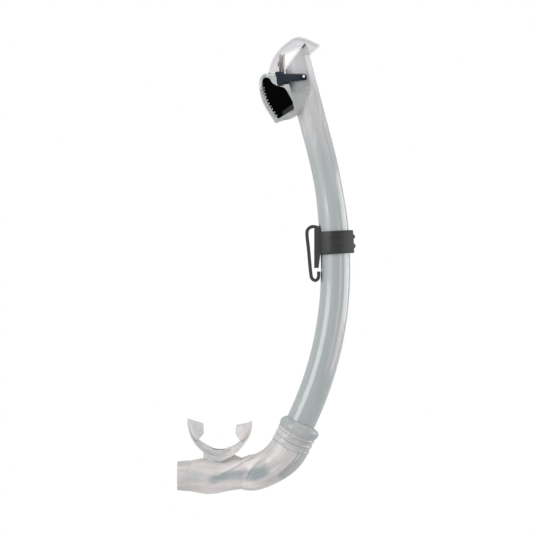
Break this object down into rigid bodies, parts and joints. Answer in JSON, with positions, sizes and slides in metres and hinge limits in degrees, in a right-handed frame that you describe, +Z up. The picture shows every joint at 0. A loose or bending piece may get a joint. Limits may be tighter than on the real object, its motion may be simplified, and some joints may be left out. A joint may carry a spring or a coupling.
{
  "type": "snorkel",
  "caption": "Dry-top snorkel: curved rigid tube with a float valve under a clear hood, a rubber strap keeper, and a swivelling silicone bend with purge valve and mouthpiece.",
  "frame": {"origin": "middle of the keeper's strap slot, in the snorkel's middle plane", "axes": "+Z up along the tube, +X towards the convex back of the tube, so the mouthpiece is on the -X side, +Y across the middle plane"},
  "size_m": [0.1675, 0.036, 0.4284],
  "materials": {
    "tube_plastic": "satin translucent",
    "seat_plastic": "satin",
    "clear_hood": "clear gloss",
    "key_plastic": "matt",
    "clear_housing": "clear gloss",
    "pin_steel": "satin",
    "lever_pin_plastic": "gloss",
    "collar_plastic": "satin translucent",
    "o_ring_rubber": "matt",
    "float_black": "matt",
    "arm_plastic": "matt",
    "lever_plastic": "satin",
    "seal_silicone": "matt",
    "keeper_rubber": "satin",
    "elbow_silicone": "satin translucent",
    "connector_plastic": "satin translucent",
    "chamber_silicone": "satin translucent",
    "purge_seat_plastic": "satin",
    "purge_disc_silicone": "matt",
    "purge_cap_plastic": "satin",
    "mouthpiece_silicone": "satin translucent"
  },
  "bodies": {
    "tube": {"main_tube": "tube_plastic", "inlet_seat": "seat_plastic", "hood": "clear_hood", "hood_lock_key": "key_plastic", "float_chamber": "clear_housing", "float_pivot_pin": "pin_steel", "lever_pin_front": "lever_pin_plastic", "lever_pin_back": "lever_pin_plastic", "swivel_collar": "collar_plastic", "swivel_o_ring": "o_ring_rubber"},
    "float": {"float_body": "float_black", "float_arm": "arm_plastic"},
    "lever": {"valve_lever": "lever_plastic", "seal_pad": "seal_silicone"},
    "keeper": {"keeper": "keeper_rubber"},
    "lower_end": {"elbow": "elbow_silicone", "chamber_connector": "connector_plastic", "purge_chamber": "chamber_silicone", "purge_seat": "purge_seat_plastic", "purge_cap": "purge_cap_plastic", "mouthpiece": "mouthpiece_silicone"},
    "purge_valve": {"purge_disc": "purge_disc_silicone"}
  },
  "joints": [
    {"name": "float_swing", "type": "hinge", "parent": "tube", "child": "float", "pos_m": [-0.018, 0, 0.1349], "axis": [0, 1, 0], "range_deg": [0, 15.5]},
    {"name": "valve_lever_swing", "type": "hinge", "parent": "tube", "child": "lever", "pos_m": [-0.0075, 0, 0.1659], "axis": [0, 1, 0], "range_deg": [0, 36.87]},
    {"name": "keeper_slide", "type": "hinge", "parent": "tube", "child": "keeper", "pos_m": [-0.4334, 0, -0.015], "axis": [0, -1, 0], "range_deg": [-1.2, 6]},
    {"name": "mouthpiece_swivel", "type": "hinge", "parent": "tube", "child": "lower_end", "pos_m": [-0.0107, 0, -0.15922], "axis": [-0.4384, 0, -0.8988], "range_deg": [-90, 90]},
    {"name": "purge_lift", "type": "slide", "parent": "lower_end", "child": "purge_valve", "axis": [-1, 0, 0], "range_m": [0, 0.0012], "stiffness_N_per_m": 40}
  ],
  "couplings": [
    {"joint": "valve_lever_swing", "follows": "float_swing", "ratio": 2.378}
  ]
}
